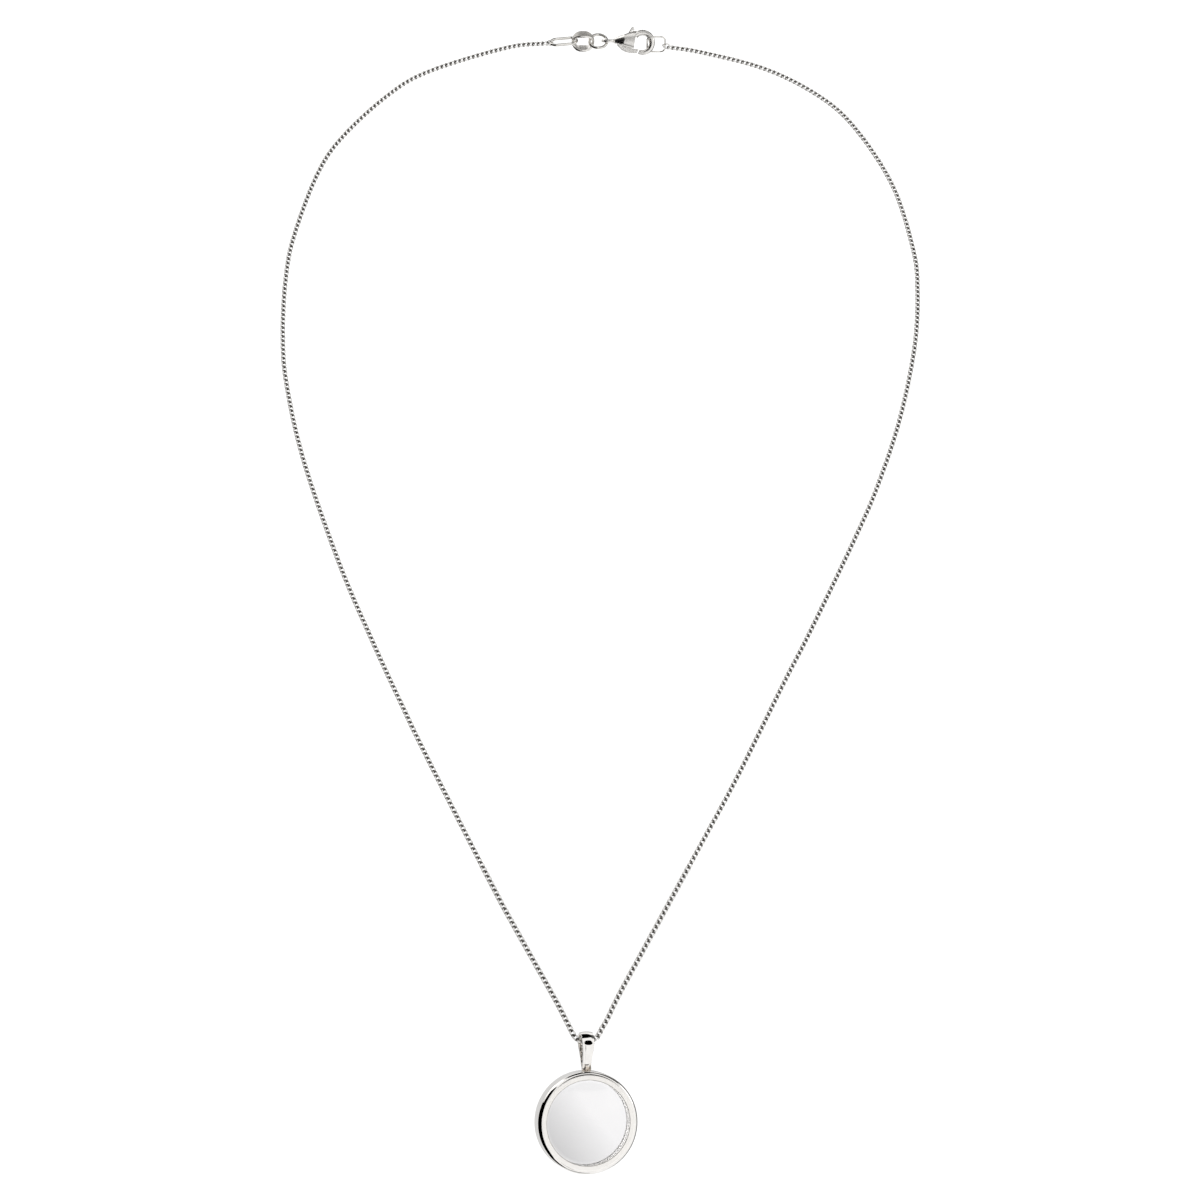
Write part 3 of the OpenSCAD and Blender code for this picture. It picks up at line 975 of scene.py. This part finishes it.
def makeChain(sizes, ends):
    line = smoothRoute(sizes)
    run = lengthsOf(line)
    halfLength = (sizes["pitch"] + sizes["wire"] + sizes["slack"]) / 2
    start = lengthAtX(line, run, ends["left"]["reach"] - halfLength)
    end = lengthAtX(line, run, ends["right"]["reach"] + halfLength, fromEnd=True)
    count = round((end - start) / sizes["pitch"]) + 1
    print("chain links:", count, "pitch:", round((end - start) / (count - 1), 4))
    mesh = bpy.data.meshes.new("route")
    mesh.from_pydata([p * mm for p in line], [(i, i + 1) for i in range(len(line) - 1)], [])
    made = bpy.data.objects.new("route", mesh)
    bpy.context.scene.collection.objects.link(made)
    a = math.radians(sizes["lean"])
    values = {
        "Start": start * mm,
        "End": end * mm,
        "Count": count,
        "Half Length": halfLength * mm,
        "Half Width": (sizes["width"] - sizes["wire"]) / 2 * mm,
        "Wire": sizes["wire"] * mm,
        "Twist": math.radians(sizes["twist"]),
        "Sides": sizes["sides"],
        "Wire Sides": sizes["wireSides"],
        "Flat": sizes["flat"] * mm,
        "Side": sizes["side"] * mm,
        "Unshaded Reach": sizes["worn"] * mm,
        "Facing": (0, -math.cos(a), math.sin(a)),
        "Material": wirePolish,
    }
    modifier = made.modifiers.new("links", "NODES")
    modifier.node_group = linkTree()
    for item in modifier.node_group.interface.items_tree:
        if item.name in values:
            modifier[item.identifier] = values[item.name]
    shape = settled(made)
    shape.transform(Matrix.Scale(1 / mm, 4))
    linkCorners = len(shape.verts)
    for side in ("left", "right"):
        gather(shape, endLink(ends[side], ends["wire"]))
    # the end links take one even share of the painted shade
    unshaded = shape.verts.layers.float["unshaded"]
    for vert in list(shape.verts)[linkCorners:]:
        vert[unshaded] = ends["unshaded"]
    return addPiece("chainLinks", shape, Matrix(), [wirePolish], "necklace", "chain", sharp=75)


makeChain(chainSizes, endLinks)
print("chain made")

# Floor, studio and lights

floorLook = {
    "height": -0.25, "reach": 5, "light": (0.9, 0.9, 0.9), "shade": (0.87, 0.87, 0.87), "patches": 3,
    "rough": 0.9, "shine": 0.1,
}


def makeFloor(look):
    material, tree = newMaterial("paleFloor")
    place = tree.add("ShaderNodeTexCoord", out="Object")
    shader = tree.add("ShaderNodeBsdfPrincipled", {}, {
        "Base Color": tree.mixed(tree.noise(place, look["patches"], 2), colour(look["light"]), colour(look["shade"])),
        "Roughness": look["rough"],
        "Specular IOR Level": look["shine"],
    })
    tree.add("ShaderNodeOutputMaterial", {}, {"Surface": shader})
    r = look["reach"]
    mesh = bpy.data.meshes.new("floor")
    mesh.from_pydata([(x, y, look["height"]) for x, y in ((-r, -r), (r, -r), (r, r), (-r, r))], [], [(0, 1, 2, 3)])
    mesh.materials.append(material)
    floor = bpy.data.objects.new("floor", mesh)
    floor.visible_glossy = False  # the cards of the studio stand below the piece too
    floor.visible_transmission = False
    bpy.context.scene.collection.objects.link(floor)


# Cards of the studio, by the way a reflection looks: the middle and the reach of each in degrees, as
# turn from the camera and height; a higher square gives fuller corners
cards = [
    {"name": "backLeft", "at": (-156, 0), "reach": (24, 40), "square": 2, "soft": 1.5, "shade": 0.7},
    {"name": "backRight", "at": (125, 5), "reach": (25, 60), "square": 2, "soft": 3, "shade": 0.15},
    {"name": "rightTop", "at": (98, 52), "reach": (34, 36), "square": 2, "soft": 2, "shade": 0.1},
    {"name": "room", "at": (-62, -3), "reach": (60, 48), "square": 2.6, "soft": 14, "shade": 0},
    {"name": "roomLow", "at": (-68, -54), "reach": (46, 27), "square": 2, "soft": 8, "shade": 0},
    {"name": "underCamera", "at": (1, -19), "reach": (8, 11), "square": 2, "soft": 3, "shade": 1},
    {"name": "camera", "at": (24, 23), "reach": (19, 20), "square": 2.6, "soft": 8, "shade": 0},
    {"name": "stand", "at": (10.5, -26), "reach": (1.5, 30), "square": 2, "soft": 2, "shade": 0.12},
    {"name": "faceLight", "at": (26, -8), "reach": (7, 8), "square": 2, "soft": 2, "shade": 1},
    {"name": "ceiling", "at": (0, 91), "reach": (400, 26), "square": 4, "soft": 6, "shade": 0},
    {"name": "table", "at": (0, -91), "reach": (400, 15), "square": 4, "soft": 3, "shade": 0.25},
]
studio = {"white": 1.0, "back": 0.5, "backFrom": 0.7, "backSoft": 0.15, "plain": 1.25}
paperLook = {
    "slope": 2.4, "rise": 0.8, "middle": 0.72, "light": 1.02, "dim": 0.58,
    "front": 4, "frontSoft": 3,
    "mirror": (0.405, -0.909, -0.105), "mirrorTo": 0.9, "mirrorSoft": 4,  # where a crystal mirrors the camera
}


def makeStudio(cards, look, paper):
    world = bpy.data.worlds.new("studio")
    world.use_nodes = True
    world.node_tree.nodes.clear()
    tree = Tree(world.node_tree)
    way = tree.add("ShaderNodeSeparateXYZ", {}, {0: tree.add("ShaderNodeTexCoord", out="Generated")})
    x, y, z = way.out("X"), way.out("Y"), way.out("Z")
    turn = x.calc("ARCTAN2", 0 - y) * (180 / math.pi)
    height = z.calc("ARCSINE") * (180 / math.pi)
    light = look["white"] - ((y - look["backFrom"]) / look["backSoft"]).held() * (look["white"] - look["back"])
    for card in cards:
        far = [((value - middle).calc("ABSOLUTE") / reach).calc("POWER", card["square"])
               for value, middle, reach in zip((turn, height), card["at"], card["reach"])]
        patch = ((1 - far[0] - far[1]) * card["soft"] + 0.5).held()
        light = light + (card["shade"] - light) * patch
    sheet = paper["middle"] - (x + z * paper["rise"]) * paper["slope"]  # paper behind, seen through glass
    sheet = sheet.calc("MINIMUM", paper["light"]).calc("MAXIMUM", paper["dim"])
    mirror = x * paper["mirror"][0] + y * paper["mirror"][1] + z * paper["mirror"][2]
    clear = ((paper["mirrorTo"] - mirror) * paper["mirrorSoft"]).held()
    sheet = sheet + ((0 - y) * paper["frontSoft"]).held() * clear * paper["front"]
    rays = tree.add("ShaderNodeLightPath", out="Is Camera Ray")
    plain = rays.calc("MAXIMUM", rays.out("Is Diffuse Ray"))
    through = rays.out("Is Transmission Ray") * (1 - plain)
    strength = plain * look["plain"] + through * sheet + (1 - plain - through) * light
    surface = tree.add("ShaderNodeBackground", {}, {"Color": (1, 1, 1, 1), "Strength": strength})
    tree.add("ShaderNodeOutputWorld", {}, {"Surface": surface})
    bpy.context.scene.world = world


# Lamps, by turn from the camera and height as for the cards
lamps = [
    {"name": "leftSoft", "turn": -95, "height": 35, "away": 1.2, "size": 0.7, "watts": 1.5},
    {"name": "rightSoft", "turn": 85, "height": 20, "away": 1.2, "size": 0.6, "watts": 1.1},
    {"name": "topSoft", "turn": -70, "height": 62, "away": 1.2, "size": 0.4, "watts": 0.5},
]
lit = (0, -0.03, -0.09)  # what they stand round and face


def makeLamps(lamps):
    for lamp in lamps:
        data = bpy.data.lights.new(lamp["name"], "AREA")
        data.shape = "DISK"
        data.size = lamp["size"]
        data.energy = lamp["watts"]
        made = bpy.data.objects.new(lamp["name"], data)
        turn, height = math.radians(lamp["turn"]), math.radians(lamp["height"])
        way = Vector((math.sin(turn) * math.cos(height), -math.cos(turn) * math.cos(height), math.sin(height)))
        made.location = Vector(lit) + way * lamp["away"]
        made.visible_camera = False
        made.rotation_euler = (-way).to_track_quat("-Z", "Y").to_euler()
        bpy.context.scene.collection.objects.link(made)


makeFloor(floorLook)
makeStudio(cards, studio, paperLook)
makeLamps(lamps)
bpy.context.scene.view_settings.view_transform = "Standard"
print("studio made")
